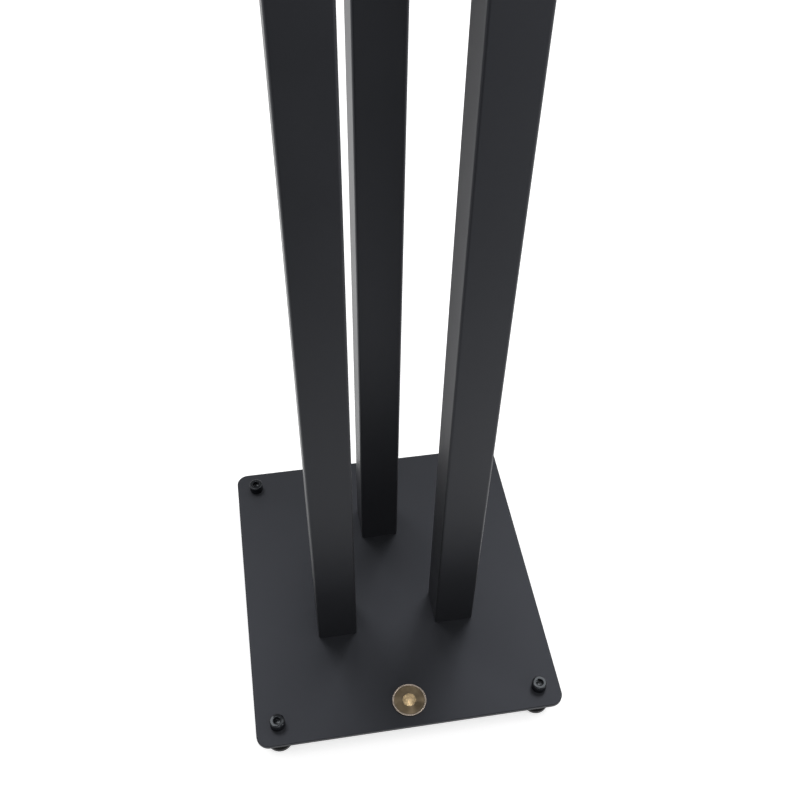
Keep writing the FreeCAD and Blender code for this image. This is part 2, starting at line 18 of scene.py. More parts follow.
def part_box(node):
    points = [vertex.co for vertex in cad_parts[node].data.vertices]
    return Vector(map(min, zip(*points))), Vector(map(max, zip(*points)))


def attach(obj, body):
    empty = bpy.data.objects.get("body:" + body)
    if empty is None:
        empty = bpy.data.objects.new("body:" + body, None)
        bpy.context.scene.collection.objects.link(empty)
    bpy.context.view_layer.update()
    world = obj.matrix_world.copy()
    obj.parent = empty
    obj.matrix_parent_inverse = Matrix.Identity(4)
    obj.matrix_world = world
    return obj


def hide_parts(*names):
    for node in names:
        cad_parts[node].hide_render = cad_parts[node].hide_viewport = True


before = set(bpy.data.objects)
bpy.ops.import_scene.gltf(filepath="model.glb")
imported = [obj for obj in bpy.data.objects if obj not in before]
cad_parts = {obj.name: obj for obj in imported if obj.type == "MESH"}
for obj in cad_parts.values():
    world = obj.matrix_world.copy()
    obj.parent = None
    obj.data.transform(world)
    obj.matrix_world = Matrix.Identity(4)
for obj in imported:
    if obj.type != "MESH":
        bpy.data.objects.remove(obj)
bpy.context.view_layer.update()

LOG = logging.getLogger("speaker_stand")
MM = 0.001
FULL_TURN = 2 * math.pi
MIDDLE = 0.5  # the value that a noise pattern swings about
BEVEL_SAMPLES = 6
MIX_FIRST, MIX_SECOND, MIX_RESULT = 6, 7, 2  # a Mix node's sockets for colours
UP = (0.0, 0.0, 1.0)
BLACK = (0.0, 0.0, 0.0)
WHITE = (1.0, 1.0, 1.0, 1.0)
SAME_POINT = 1e-6  # points closer than this are one
SAME_RING = 5e-6  # how far a point may be off a ring that it belongs to

Colour = tuple[float, float, float]
Point = tuple[float, float, float]
Span = tuple[float, float]
Profile = Sequence[tuple[float, float]]


class Corner(Enum):
    """The four corners of the stand."""

    FRONT_LEFT = "front_left"
    FRONT_RIGHT = "front_right"
    REAR_LEFT = "rear_left"
    REAR_RIGHT = "rear_right"


class Pillar(Enum):
    """The three square tubes."""

    FRONT_LEFT = "front_left"
    FRONT_RIGHT = "front_right"
    REAR = "rear"


class Slot(Enum):
    """The record's material slots."""

    POWDER_COAT = "powder_coat"
    STEEL = "steel"
    BLACK_SCREW = "black_screw"
    GLOSS_BLACK_SCREW = "gloss_black_screw"
    MOULDED_PLASTIC = "moulded_plastic"
    RUBBER = "rubber"
    ADHESIVE = "adhesive"
    BADGE_BRASS = "badge_brass"


# Shader maths


class Signal:
    """One value in a material, which Python's operators work on."""

    def __init__(self, graph: "Graph", socket: bpy.types.NodeSocket) -> None:
        """Keeps the socket and the graph that it belongs to."""
        self.graph = graph
        self.socket = socket

    def maths(self, operation: str, first: "Value", second: "Value") -> "Signal":
        """Adds a Math node.

        Args:
            operation: the Math node's operation.
            first: its first value.
            second: its second value.

        Returns:
            The node's result.
        """
        return self.graph.node("ShaderNodeMath", {"operation": operation}, {0: first, 1: second})

    def __add__(self, other: "Value") -> "Signal":
        """self + other"""
        return self.maths("ADD", self, other)

    def __radd__(self, other: "Value") -> "Signal":
        """other + self"""
        return self.maths("ADD", other, self)

    def __sub__(self, other: "Value") -> "Signal":
        """self - other"""
        return self.maths("SUBTRACT", self, other)

    def __rsub__(self, other: "Value") -> "Signal":
        """other - self"""
        return self.maths("SUBTRACT", other, self)

    def __mul__(self, other: "Value") -> "Signal":
        """self * other"""
        return self.maths("MULTIPLY", self, other)

    def __truediv__(self, other: "Value") -> "Signal":
        """self / other"""
        return self.maths("DIVIDE", self, other)

    def swing(self, amount: float) -> "Signal":
        """A change about nothing.

        Args:
            amount: how far the highest value lies above the lowest.

        Returns:
            The change, half of it either way.
        """
        return (self - MIDDLE) * amount

    def between(self, low: float, high: float) -> "Signal":
        """A smooth step.

        Args:
            low: where the step starts from 0.
            high: where it reaches 1.

        Returns:
            The step's value, from 0 to 1.
        """
        settings = {"interpolation_type": "SMOOTHSTEP"}
        inputs = {0: self, 1: low, 2: high, 3: 0.0, 4: 1.0}
        return self.graph.node("ShaderNodeMapRange", settings, inputs)


Value = Union[Signal, float]


class Graph:
    """The node tree of one material, world or floor."""

    def __init__(self, tree: bpy.types.NodeTree) -> None:
        """Starts from an empty tree."""
        self.tree = tree
        self.tree.nodes.clear()

    def node(
        self, kind: str, settings: Mapping[str, Any], inputs: Mapping[Any, Any], output: Any = 0,
    ) -> Signal:
        """Adds any node.

        Args:
            kind: the node's type.
            settings: its own settings, set first.
            inputs: values or signals for its sockets, by name or number.
            output: the name or number of the socket to return.

        Returns:
            The chosen output.
        """
        made = self.tree.nodes.new(kind)
        for name, value in settings.items():
            setattr(made, name, value)
        for key, value in inputs.items():
            socket = made.inputs[key]
            if isinstance(value, Signal):
                self.tree.links.new(value.socket, socket)
            else:
                socket.default_value = value
        return Signal(self, made.outputs[output] if made.outputs else None)

    def place(self) -> Signal:
        """The point's own place in the stand, in metres."""
        return self.node("ShaderNodeTexCoord", {}, {}, "Object")

    def noise(self, size: float, detail: float = 2.0, stretch: Point = (1.0, 1.0, 1.0)) -> Signal:
        """Soft random patches.

        Args:
            size: how large one patch is, in metres.
            detail: how many finer layers are added.
            stretch: how much finer the pattern is along each axis.

        Returns:
            A value about 0.5, from 0 to 1.
        """
        scaled = self.node("ShaderNodeMapping", {}, {"Vector": self.place(), "Scale": stretch})
        inputs = {"Vector": scaled, "Scale": 1.0 / size, "Detail": detail}
        return self.node("ShaderNodeTexNoise", {}, inputs)

    def off_axis(self, axis: Vector) -> Signal:
        """The distance from an upright axis.

        Args:
            axis: any point on the axis.

        Returns:
            The distance in metres.
        """
        level = self.node("ShaderNodeMapping", {}, {
            "Vector": self.place(), "Location": (-axis.x, -axis.y, 0.0), "Scale": (1.0, 1.0, 0.0),
        })
        return self.node("ShaderNodeVectorMath", {"operation": "LENGTH"}, {0: level}, "Value")

    def blend(self, share: Value, first: Any, second: Any) -> Signal:
        """Mixes two colours.

        Args:
            share: how much of the second, from 0 to 1.
            first: the colour at 0.
            second: the colour at 1.

        Returns:
            The mixed colour.
        """
        first, second = (c if isinstance(c, Signal) else (*c, 1.0) for c in (first, second))
        inputs = {0: share, MIX_FIRST: first, MIX_SECOND: second}
        return self.node("ShaderNodeMix", {"data_type": "RGBA"}, inputs, MIX_RESULT)

    def relief(self, height: Signal, depth: float, rounding: float = 0.0) -> Signal:
        """A surface's fine relief, with its sharp edges rounded off.

        Args:
            height: the relief's height, from 0 to 1.
            depth: how deep the whole relief is, in metres.
            rounding: the radius that the piece's edges show, in metres.

        Returns:
            The surface's normal.
        """
        inputs = {"Strength": 1.0, "Distance": depth, "Height": height}
        if rounding:
            settings = {"samples": BEVEL_SAMPLES}
            inputs["Normal"] = self.node("ShaderNodeBevel", settings, {"Radius": rounding})
        return self.node("ShaderNodeBump", {}, inputs)


# Finishes


@dataclass(frozen=True)
class Finish(ABC):
    """One finish of the stand.

    Attributes:
        name: what the material is called.
        slot: the record's slot that it dresses; not used.
        colour: its main colour, linear.
        roughness: its middle roughness.
        tints: its darkest and its lightest patches, as shares of the main colour.
    """

    name: str
    slot: Slot
    colour: Colour
    roughness: float
    tints: Span

    def patches(self, graph: Graph, share: Value) -> Signal:
        """The main colour with its patches.

        Args:
            graph: the material's node tree.
            share: 0 in the darkest patches and 1 in the lightest.

        Returns:
            The colour.
        """
        dark, light = (tuple(c * tint for c in self.colour) for tint in self.tints)
        return graph.blend(share, dark, light)

    def material(self) -> bpy.types.Material:
        """The material of this finish, made the first time and shared from then on."""
        made = bpy.data.materials.get(self.name)
        if made is None:
            made = bpy.data.materials.new(self.name)
            made.use_nodes = True
            graph = Graph(made.node_tree)
            shader = graph.node("ShaderNodeBsdfPrincipled", {}, self.surface(graph))
            graph.node("ShaderNodeOutputMaterial", {}, {"Surface": shader})
        return made

    @abstractmethod
    def surface(self, graph: Graph) -> dict[str, Any]:
        """Builds the pattern.

        Args:
            graph: the material's node tree.

        Returns:
            What goes into each socket of the surface shader.
        """


@dataclass(frozen=True)
class PowderCoat(Finish):
    """Baked powder paint: satin, with a fine orange peel and a still finer grain.

    Attributes:
        peel: width of one bump of the orange peel.
        peel_depth: height of those bumps.
        peel_share: how much of the relief is orange peel, the rest being grain.
        grain: width of one grain.
        cloud: width of the slow change in film thickness over a plate.
        cloud_share: how much of the patches is that change, the rest being grain.
        cloud_rough: how much the roughness changes with it.
        grain_rough: how much the roughness changes from grain to grain.
        shaded: values of the pattern between which dark turns to light.
        rounding: radius that the paint leaves on a sharp edge.
        ior: index of refraction of the film.
        sheen: tint of its reflections.
    """

    peel: float = 0.9 * MM
    peel_depth: float = 0.012 * MM
    peel_share: float = 0.7
    grain: float = 0.3 * MM
    cloud: float = 70 * MM
    cloud_share: float = 0.6
    cloud_rough: float = 0.10
    grain_rough: float = 0.06
    shaded: Span = (0.25, 0.75)
    tints: Span = (0.88, 1.12)
    rounding: float = 0.45 * MM
    ior: float = 1.46
    sheen: Colour = (0.83, 0.87, 1.0)

    def surface(self, graph: Graph) -> dict[str, Any]:
        """Builds the pattern of the paint film."""
        peel = graph.noise(self.peel)
        grain = graph.noise(self.grain, detail=0.0)
        cloud = graph.noise(self.cloud, detail=3.0)
        shade = cloud * self.cloud_share + grain * (1.0 - self.cloud_share)
        height = peel * self.peel_share + grain * (1.0 - self.peel_share)
        return {
            "Base Color": self.patches(graph, shade.between(*self.shaded)),
            "Roughness": self.roughness + cloud.swing(self.cloud_rough) + grain.swing(self.grain_rough),
            "Normal": graph.relief(height, self.peel_depth, self.rounding),
            "IOR": self.ior,
            "Specular Tint": (*self.sheen, 1.0),
        }


@dataclass(frozen=True)
class GlossPlating(Finish):
    """Glossy black plating over steel, with a fine mist and a few handling marks.

    Attributes:
        mist: width of one speck of the mist.
        mist_depth: depth of the mist.
        mist_rough: how much the roughness changes in the mist.
        scuff: width of one handling mark.
        scuffed: values of the pattern between which a mark comes up.
        scuff_rough: how much rougher a mark is.
        rounding: radius of the plated edges.
        ior: index of refraction of the plating.
        sheen: tint of its reflections.
    """

    mist: float = 0.12 * MM
    mist_depth: float = 0.0004 * MM
    mist_rough: float = 0.05
    scuff: float = 2.5 * MM
    scuffed: Span = (0.55, 0.75)
    scuff_rough: float = 0.10
    tints: Span = (0.9, 1.7)
    rounding: float = 0.15 * MM
    ior: float = 1.45
    sheen: Colour = (0.88, 0.94, 1.0)

    def surface(self, graph: Graph) -> dict[str, Any]:
        """Builds the pattern of the plating."""
        scuff = graph.noise(self.scuff, detail=4.0, stretch=(1.0, 3.0, 1.0))
        mist = graph.noise(self.mist, detail=1.0)
        marks = scuff.between(*self.scuffed)
        return {
            "Base Color": self.patches(graph, marks),
            "Roughness": self.roughness + marks * self.scuff_rough + mist.swing(self.mist_rough),
            "Normal": graph.relief(mist, self.mist_depth, self.rounding),
            "IOR": self.ior,
            "Specular Tint": (*self.sheen, 1.0),
        }


@dataclass(frozen=True)
class BlackOxide(Finish):
    """Chemical black on small steel screws, mottled and slightly oily.

    Attributes:
        mottle: width of one patch.
        mottled: values of the pattern between which dark turns to light.
        mottle_rough: how much the roughness changes from patch to patch.
        pit: width of one pit.
        pit_depth: depth of the pits.
        rounding: radius of the screw's edges.
    """

    mottle: float = 1.6 * MM
    mottled: Span = (0.3, 0.7)
    mottle_rough: float = 0.25
    pit: float = 0.2 * MM
    pit_depth: float = 0.006 * MM
    tints: Span = (0.8, 1.6)
    rounding: float = 0.15 * MM

    def surface(self, graph: Graph) -> dict[str, Any]:
        """Builds the pattern of the blackened steel."""
        mottle = graph.noise(self.mottle, detail=4.0)
        pit = graph.noise(self.pit, detail=1.0)
        return {
            "Base Color": self.patches(graph, mottle.between(*self.mottled)),
            "Roughness": self.roughness + mottle.swing(self.mottle_rough),
            "Normal": graph.relief(pit, self.pit_depth, self.rounding),
            "Metallic": 0.5,
        }


@dataclass(frozen=True)
class MachinedSteel(Finish):
    """Bare steel as the saw and the mill left it.

    Attributes:
        stroke: width of one tool mark.
        stroke_depth: depth of the tool marks.
        stroke_rough: how much the roughness changes from mark to mark.
        bloom: width of one patch where the steel has dulled.
        bloom_rough: how much the roughness changes from patch to patch.
    """

    stroke: float = 0.25 * MM
    stroke_depth: float = 0.01 * MM
    stroke_rough: float = 0.2
    bloom: float = 12 * MM
    bloom_rough: float = 0.1
    tints: Span = (0.8, 1.1)

    def surface(self, graph: Graph) -> dict[str, Any]:
        """Builds the pattern of the tool marks."""
        stroke = graph.noise(self.stroke, stretch=(0.04, 1.0, 1.0))
        bloom = graph.noise(self.bloom, detail=3.0)
        rough = stroke.swing(self.stroke_rough) + bloom.swing(self.bloom_rough)
        return {
            "Base Color": self.patches(graph, bloom),
            "Roughness": self.roughness + rough,
            "Normal": graph.relief(stroke, self.stroke_depth),
            "Metallic": 1.0,
        }


@dataclass(frozen=True)
class MouldedPlastic(Finish):
    """Hard glossy plastic with a trace of flow marks and a little dust.

    Attributes:
        flow: width of one flow mark.
        flow_depth: depth of the flow marks.
        flowed: values of the pattern between which dark turns to light.
        flow_rough: how much the roughness changes from mark to mark.
        dust: width of one speck of dust.
        dusty: values of the pattern between which a speck comes up.
        dust_rough: how much rougher a speck is.
        rounding: radius of the moulded edges.
        ior: index of refraction of the plastic.
    """

    flow: float = 7 * MM
    flow_depth: float = 0.03 * MM
    flowed: Span = (0.3, 0.7)
    flow_rough: float = 0.12
    dust: float = 0.35 * MM
    dusty: Span = (0.62, 0.75)
    dust_rough: float = 0.2
    tints: Span = (0.85, 1.2)
    rounding: float = 0.3 * MM
    ior: float = 1.3

    def surface(self, graph: Graph) -> dict[str, Any]:
        """Builds the pattern of the moulding."""
        flow = graph.noise(self.flow, stretch=(1.0, 1.0, 2.5))
        dust = graph.noise(self.dust, detail=1.0)
        specks = dust.between(*self.dusty)
        return {
            "Base Color": self.patches(graph, flow.between(*self.flowed)),
            "Roughness": self.roughness + flow.swing(self.flow_rough) + specks * self.dust_rough,
            "Normal": graph.relief(flow, self.flow_depth, self.rounding),
            "IOR": self.ior,
        }


@dataclass(frozen=True)
class Rubber(Finish):
    """Matt black rubber with the grain of its mould and a little bloom.

    Attributes:
        grain: width of one grain.
        grain_depth: depth of the grain.
        grain_rough: how much the roughness changes from grain to grain.
        bloom: width of one paler patch.
        bloomed: values of the pattern between which dark turns to light.
        ior: index of refraction of the rubber.
    """

    grain: float = 0.4 * MM
    grain_depth: float = 0.04 * MM
    grain_rough: float = 0.2
    bloom: float = 5 * MM
    bloomed: Span = (0.35, 0.75)
    tints: Span = (0.8, 1.5)
    ior: float = 1.48

    def surface(self, graph: Graph) -> dict[str, Any]:
        """Builds the pattern of the rubber."""
        grain = graph.noise(self.grain)
        bloom = graph.noise(self.bloom, detail=3.0)
        return {
            "Base Color": self.patches(graph, bloom.between(*self.bloomed)),
            "Roughness": self.roughness + grain.swing(self.grain_rough),
            "Normal": graph.relief(grain, self.grain_depth),
            "IOR": self.ior,
        }


@dataclass(frozen=True)
class FoamTape(Finish):
    """Dark acrylic foam tape, closed cells showing at its cut edge.

    Attributes:
        cell: width of one cell.
        cell_depth: depth of one cell.
        cell_rough: how much the roughness changes across a cell.
    """

    cell: float = 0.18 * MM
    cell_depth: float = 0.05 * MM
    cell_rough: float = 0.1
    tints: Span = (0.6, 1.2)

    def surface(self, graph: Graph) -> dict[str, Any]:
        """Builds the pattern of the foam's cells."""
        inputs = {"Vector": graph.place(), "Scale": 1.0 / self.cell}
        cells = graph.node("ShaderNodeTexVoronoi", {}, inputs)
        return {
            "Base Color": self.patches(graph, cells),
            "Roughness": self.roughness + cells.swing(self.cell_rough),
            "Normal": graph.relief(cells, self.cell_depth),
        }


@dataclass(frozen=True)
class TurnedBrass(Finish):
    """Darkened brass with a face turned in fine rings, a polished rim and a polished boss.

    Attributes:
        axis_x: the disc's axis along X.
        axis_y: the disc's axis along Y.
        boss_colour: the colour of the polished boss.
        boss_ends: distance from the axis where the boss ends.
        rim_colour: the colour of the polished rim.
        rim_starts: distance from the axis where the rim starts.
        fade: width over which one colour passes into the next.
        polish: how much smoother the rim and the boss are.
        stain: width of one stain on the face.
        stained: values of the pattern between which dark turns to light.
        ring: width of one turned ring.
        ring_depth: depth of the turned rings.
        ring_rough: how much the roughness changes from ring to ring.
        ring_left: how much of the rings' depth the polish leaves.
        rounding: radius of the disc's edges.
    """

    axis_x: float = 0.0
    axis_y: float = 0.0
    boss_colour: Colour = (0.84, 0.63, 0.36)
    boss_ends: float = 5.95 * MM
    rim_colour: Colour = (0.46, 0.39, 0.33)
    rim_starts: float = 13.6 * MM
    fade: float = 0.15 * MM
    polish: float = 0.12
    stain: float = 5 * MM
    stained: Span = (0.3, 0.7)
    ring: float = 0.16 * MM
    ring_depth: float = 0.004 * MM
    ring_rough: float = 0.12
    ring_left: float = 0.2
    tints: Span = (0.85, 1.1)
    rounding: float = 0.12 * MM

    def surface(self, graph: Graph) -> dict[str, Any]:
        """Builds the pattern of the turned disc."""
        out = graph.off_axis(Vector((self.axis_x, self.axis_y, 0.0)))
        rim = out.between(self.rim_starts - self.fade, self.rim_starts)
        boss = 1.0 - out.between(self.boss_ends - self.fade, self.boss_ends)
        across = {"W": out / self.ring, "Scale": 1.0}
        rings = graph.node("ShaderNodeTexNoise", {"noise_dimensions": "1D"}, across)
        stain = graph.noise(self.stain, detail=3.0)
        face = self.patches(graph, stain.between(*self.stained))
        polished = rim + boss
        turned = 1.0 - polished
        height = rings * (self.ring_left + turned * (1.0 - self.ring_left))
        uneven = turned * rings.swing(self.ring_rough)
        return {
            "Base Color": graph.blend(rim, graph.blend(boss, face, self.boss_colour), self.rim_colour),
            "Roughness": self.roughness - polished * self.polish + uneven,
            "Normal": graph.relief(height, self.ring_depth, self.rounding),
            "Metallic": 1.0,
            "Anisotropic": 0.9,
        }


COAT = PowderCoat("satin_powder_coat", Slot.POWDER_COAT, (0.0112, 0.0117, 0.0132), 0.42)
PLATING = GlossPlating("gloss_black_plating", Slot.GLOSS_BLACK_SCREW, (0.004, 0.0045, 0.006), 0.09)
OXIDE = BlackOxide("black_oxide", Slot.BLACK_SCREW, (0.02, 0.02, 0.022), 0.38)
STEEL = MachinedSteel("machined_steel", Slot.STEEL, (0.45, 0.45, 0.46), 0.36)
PLASTIC = MouldedPlastic("glossy_moulding", Slot.MOULDED_PLASTIC, (0.005, 0.005, 0.0055), 0.22)
RUBBER = Rubber("matt_rubber", Slot.RUBBER, (0.03, 0.03, 0.03), 0.72)
TAPE = FoamTape("foam_tape", Slot.ADHESIVE, (0.08, 0.08, 0.08), 0.7)


# Making pieces


class Turning:
    """A mesh that is turned about an upright axis and then worked on."""

    def __init__(self, axis: Vector, steps: int) -> None:
        """Starts an empty mesh.

        Args:
            axis: a point on the axis, whose height is where the profiles' zero lies.
            steps: how many steps a full turn has.
        """
        self.mesh = bmesh.new()
        self.axis = axis
        self.steps = steps

    def turn(self, profile: Profile) -> None:
        """Turns a profile fully round.

        Args:
            profile: distances from the axis and heights.
        """
        verts = [self.mesh.verts.new(self.axis + Vector((r, 0.0, z))) for r, z in profile]
        lines = [self.mesh.edges.new(pair) for pair in zip(verts, verts[1:])]
        bmesh.ops.spin(
            self.mesh, geom=verts + lines, cent=self.axis, axis=UP, angle=FULL_TURN, steps=self.steps,
            use_merge=True, use_normal_flip=False, use_duplicate=False,
        )
        self.tidy()

    def tidy(self) -> None:
        """Merges doubled points and turns every face outwards."""
        bmesh.ops.remove_doubles(self.mesh, verts=self.mesh.verts[:], dist=SAME_POINT)
        bmesh.ops.recalc_face_normals(self.mesh, faces=self.mesh.faces[:])

    def out(self, vert: bmesh.types.BMVert) -> float:
        """How far a vertex is from the axis."""
        return math.hypot(vert.co.x - self.axis.x, vert.co.y - self.axis.y)

    def ring(self, radius: float, height: float) -> list[bmesh.types.BMEdge]:
        """The edges of one ring.

        Args:
            radius: the ring's distance from the axis.
            height: its height over the axis point.

        Returns:
            Its edges.
        """
        level = self.axis.z + height

        def on_ring(vert: bmesh.types.BMVert) -> bool:
            """Whether a vertex is on the ring."""
            return abs(vert.co.z - level) < SAME_RING and abs(self.out(vert) - radius) < SAME_RING

        return [edge for edge in self.mesh.edges if all(on_ring(vert) for vert in edge.verts)]

    def round_ring(self, radius: float, height: float, size: float, segments: int = 3) -> None:
        """Rounds the edge along one ring.

        Args:
            radius: the ring's distance from the axis.
            height: its height over the axis point.
            size: how far the rounding reaches.
            segments: how many faces the rounding has.
        """
        bmesh.ops.bevel(
            self.mesh, geom=self.ring(radius, height), offset=size, offset_type="OFFSET",
            segments=segments, profile=0.5, affect="EDGES", material=-1, clamp_overlap=True,
        )

    def piece(
        self, name: str, finish: Finish, body: str, instead_of: str, crease: float = 35.0,
    ) -> None:
        """Finishes the mesh as a piece of the stand.

        Args:
            name: what the piece is called.
            finish: what it is dressed in.
            body: the body it moves with.
            instead_of: the CAD node that it stands for.
            crease: the angle in degrees from which an edge stays sharp.
        """
        self.tidy()
        data = bpy.data.meshes.new(name)
        self.mesh.to_mesh(data)
        self.mesh.free()
        data.shade_smooth()
        data.set_sharp_from_angle(angle=math.radians(crease))
        data.materials.append(finish.material())
        made = bpy.data.objects.new(name, data)
        bpy.context.scene.collection.objects.link(made)
        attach(made, body)
        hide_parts(instead_of)
        LOG.info("%s: %d faces, in %s, rides on %s", name, len(data.polygons), finish.name, body)


def axis_of(node: str) -> Vector:
    """The point on a CAD node's upright axis at its lowest level."""
    low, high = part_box(node)
    return Vector(((low.x + high.x) / 2, (low.y + high.y) / 2, low.z))


def dress(node: str, finish: Finish) -> None:
    """Gives a CAD node a finish.

    Args:
        node: the CAD node's name.
        finish: what it is dressed in.
    """
    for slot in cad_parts[node].material_slots:
        slot.material = finish.material()
    LOG.info("%s: kept from the CAD model, in %s", node, finish.name)


# Sub-assemblies


@dataclass
class LevellingScrew:
    """A socket-head cap screw that levels one corner, with the button its foot swivels on.

    Attributes:
        corner: the corner it stands in.
        head: radius of the head.
        head_tall: height of the head.
        head_round: rounding of the head's upper edge.
        chamfer_wide: width of the chamfer round the head's underside.
        chamfer_tall: height of that chamfer.
        fillet: fillet between the shank and the head.
        knurl_low: height over the head's underside where the knurl starts.
        knurl_high: height over the head's underside where it ends.
        knurl_deep: how much less than the head the knurl's valleys measure.
        knurl_fade: length over which the valleys run out at either end.
        ridges: how many ridges the knurl has.
        sides: how many sides the socket has.
        flats: across the flats of the hexagon socket.
        mouth: radius of the cone at the socket's mouth.
        mouth_slope: how steeply that cone falls, as a tangent.
        socket_deep: depth of the socket.
        drill_deep: depth of the cone that the drill left in its bottom.
        crest: radius of the thread's crest.
        root: radius of the thread's root.
        pitch: pitch of the thread.
        flank_angle: how far a flank of the thread leans, in degrees.
        thread_sunk: how deep the ridge's foot lies in the shank.
        thread_gap: gap between the neck and the ridge's lower end.
        neck: radius of the neck over the button.
        neck_low: lower end of that neck, over the screw's end.
        neck_high: upper end of that neck.
        neck_cone: height of the cone from the neck to the shank.
        button: radius of the button.
        button_lead: lead-in cone of the button.
        thread_steps: steps in one turn of the thread.
        crease: the angle in degrees from which an edge stays sharp.
    """

    corner: Corner
    head: float = 6.5 * MM
    head_tall: float = 8 * MM
    head_round: float = 1.0 * MM
    chamfer_wide: float = 0.5 * MM
    chamfer_tall: float = 0.3 * MM
    fillet: float = 0.3 * MM
    knurl_low: float = 0.9 * MM
    knurl_high: float = 6.4 * MM
    knurl_deep: float = 0.16 * MM
    knurl_fade: float = 0.2 * MM
    ridges: int = 60
    sides: int = 6
    flats: float = 6 * MM
    mouth: float = 3.62 * MM
    mouth_slope: float = math.tan(math.radians(30))
    socket_deep: float = 4.5 * MM
    drill_deep: float = 0.8 * MM
    crest: float = 3.95 * MM
    root: float = 3.25 * MM
    pitch: float = 1.25 * MM
    flank_angle: float = 30.0
    thread_sunk: float = 0.05 * MM
    thread_gap: float = 0.3 * MM
    neck: float = 2.8 * MM
    neck_low: float = 2.5 * MM
    neck_high: float = 4.9 * MM
    neck_cone: float = 0.2 * MM
    button: float = 3.7 * MM
    button_lead: float = 0.8 * MM
    thread_steps: int = 28
    crease: float = 25.0

    @property
    def node(self) -> str:
        """The CAD node that the screw stands for."""
        return f"{self.corner.value}_levelling_screw"

    def build(self) -> None:
        """Builds the screw, from its button up to its socket."""
        low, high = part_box(self.node)
        tall = high.z - low.z
        seat = tall - self.head_tall
        screw = Turning(axis_of(self.node), 2 * self.ridges)
        screw.turn([
            (0.0, 0.0),
            (self.button - self.button_lead, 0.0),
            (self.button, self.button_lead),
            (self.button, self.neck_low),
            (self.neck, self.neck_low),
            (self.neck, self.neck_high),
            (self.root, self.neck_high + self.neck_cone),
            (self.root, seat - self.fillet),
            (self.root + self.fillet, seat),
            (self.head - self.chamfer_wide, seat),
            (self.head, seat + self.chamfer_tall),
            (self.head, seat + self.knurl_low - self.knurl_fade),
            (self.head, seat + self.knurl_low),
            (self.head, seat + self.knurl_high),
            (self.head, seat + self.knurl_high + self.knurl_fade),
            (self.head, tall),
            (self.mouth, tall),
        ])
        self.knurl(screw, seat)
        screw.round_ring(self.head, tall, self.head_round, segments=5)
        self.sink_socket(screw, tall)
        self.wind_thread(screw, seat)
        label = self.corner.value
        screw.piece(f"{label}_cap_screw", PLATING, f"{label}_screw", self.node, self.crease)

    def knurl(self, screw: Turning, seat: float) -> None:
        """Presses a straight knurl into the head's side.

        Args:
            screw: the turned screw.
            seat: height of the head's underside.
        """
        levels = [screw.axis.z + seat + self.knurl_low, screw.axis.z + seat + self.knurl_high]
        valleys = []
        for vert in screw.mesh.verts:
            off_level = min(abs(vert.co.z - level) for level in levels)
            if off_level > SAME_RING or screw.out(vert) < self.head - SAME_RING:
                continue
            turned = math.atan2(vert.co.y - screw.axis.y, vert.co.x - screw.axis.x)
            if round(turned / FULL_TURN * screw.steps) % 2:
                valleys.append(vert)
        share = 1.0 - self.knurl_deep / self.head
        middle = Matrix.Translation(-screw.axis)
        bmesh.ops.scale(screw.mesh, vec=(share, share, 1.0), space=middle, verts=valleys)

    def sink_socket(self, screw: Turning, tall: float) -> None:
        """Sinks the hexagon socket, with a cone at its mouth and a drilled bottom.

        Args:
            screw: the turned screw, open at the socket's mouth.
            tall: the screw's height.
        """
        mouth = screw.ring(self.mouth, tall)
        level = screw.axis + Vector((0.0, 0.0, tall))
        hexagon = bmesh.ops.create_circle(
            screw.mesh, segments=self.sides, radius=self.flats / math.sqrt(3),
            matrix=Matrix.Translation(level),
        )["verts"]
        flats = list({edge for vert in hexagon for edge in vert.link_edges})
        cuts = screw.steps // self.sides - 1
        split = bmesh.ops.subdivide_edges(screw.mesh, edges=flats, cuts=cuts)
        parts = split["geom_inner"] + split["geom_split"]
        rim = list({part for part in parts if isinstance(part, bmesh.types.BMEdge)})
        for vert in {vert for edge in rim for vert in edge.verts}:
            vert.co.z -= (self.mouth - screw.out(vert)) * self.mouth_slope
        bmesh.ops.bridge_loops(screw.mesh, edges=mouth + rim)
        walls = bmesh.ops.extrude_edge_only(screw.mesh, edges=rim)["geom"]
        lower = [part for part in walls if isinstance(part, bmesh.types.BMVert)]
        bottom = [part for part in walls if isinstance(part, bmesh.types.BMEdge)]
        for vert in lower:
            vert.co.z = level.z - self.socket_deep + self.drill_deep
        floor = bmesh.ops.edgeloop_fill(screw.mesh, edges=bottom)["faces"]
        tip = bmesh.ops.poke(screw.mesh, faces=floor)["verts"]
        bmesh.ops.translate(screw.mesh, vec=(0.0, 0.0, -self.drill_deep), verts=tip)

    def wind_thread(self, screw: Turning, seat: float) -> None:
        """Winds the thread's ridge round the shank, as a closed strip.

        Args:
            screw: the turned screw.
            seat: height of the head's underside, where the thread ends.
        """
        inside = self.root - self.thread_sunk
        flank = (self.crest - inside) * math.tan(math.radians(self.flank_angle))
        flat = self.pitch / 8  # as on any metric thread
        start = self.neck_high + self.thread_gap
        turns = (seat - start - 2 * flank - flat) / self.pitch
        steps = int(turns * self.thread_steps)
        section = [
            (inside, start),
            (self.crest, start + flank),
            (self.crest, start + flank + flat),
            (inside, start + 2 * flank + flat),
        ]
        verts = [screw.mesh.verts.new(screw.axis + Vector((r, 0.0, z))) for r, z in section]
        end = screw.mesh.faces.new(verts)
        rise = (0.0, 0.0, self.pitch / self.thread_steps)
        bmesh.ops.spin(
            screw.mesh, geom=[end], cent=screw.axis, axis=UP, dvec=rise, steps=steps,
            angle=FULL_TURN * steps / self.thread_steps,
            use_merge=False, use_normal_flip=False, use_duplicate=False,
        )


